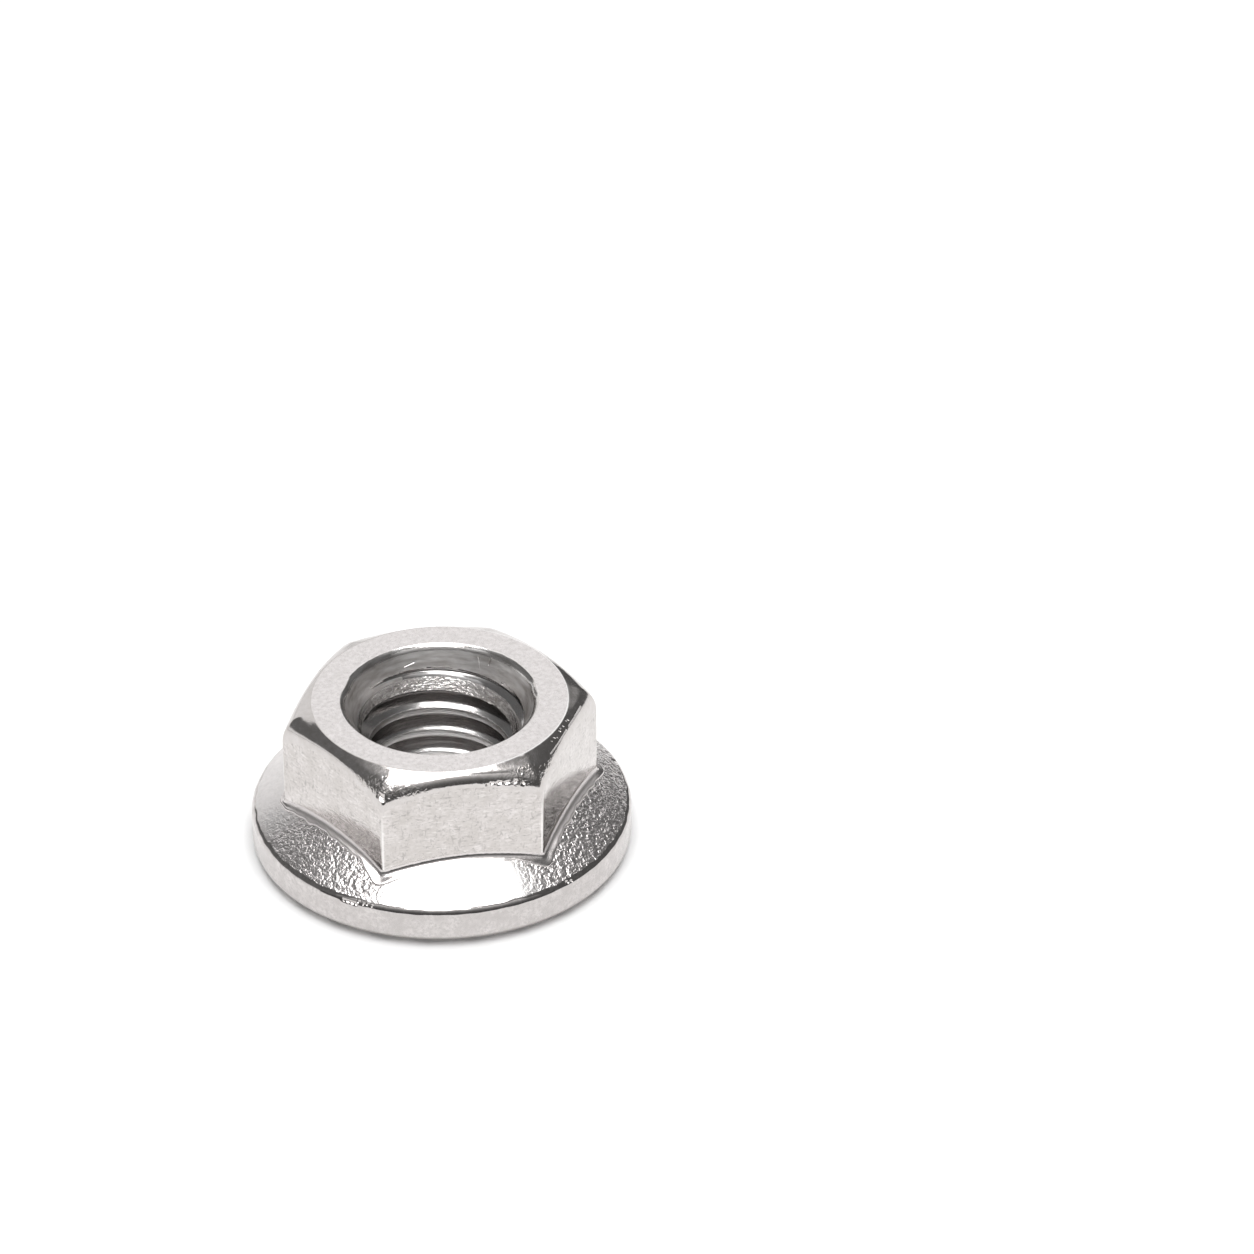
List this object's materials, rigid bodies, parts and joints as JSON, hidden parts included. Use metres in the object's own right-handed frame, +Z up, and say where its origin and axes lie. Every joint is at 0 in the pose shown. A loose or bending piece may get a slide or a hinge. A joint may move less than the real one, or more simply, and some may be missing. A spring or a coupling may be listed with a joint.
{
  "type": "flange nut",
  "caption": "Hexagon nut with a round flange and curved ratchet teeth under it, threaded through, that grips the joint face so it does not work loose.",
  "frame": {"origin": "centre of the plane that the tooth crests stand on, on the thread axis", "axes": "+Z up the thread axis from the teeth to the top face, two corners of the hexagon on X and two flats facing along Y"},
  "size_m": [0.0178, 0.0178, 0.0077],
  "materials": {
    "stainless_steel": "satin"
  },
  "bodies": {
    "root": {"flange_nut": "stainless_steel"}
  },
  "joints": []
}
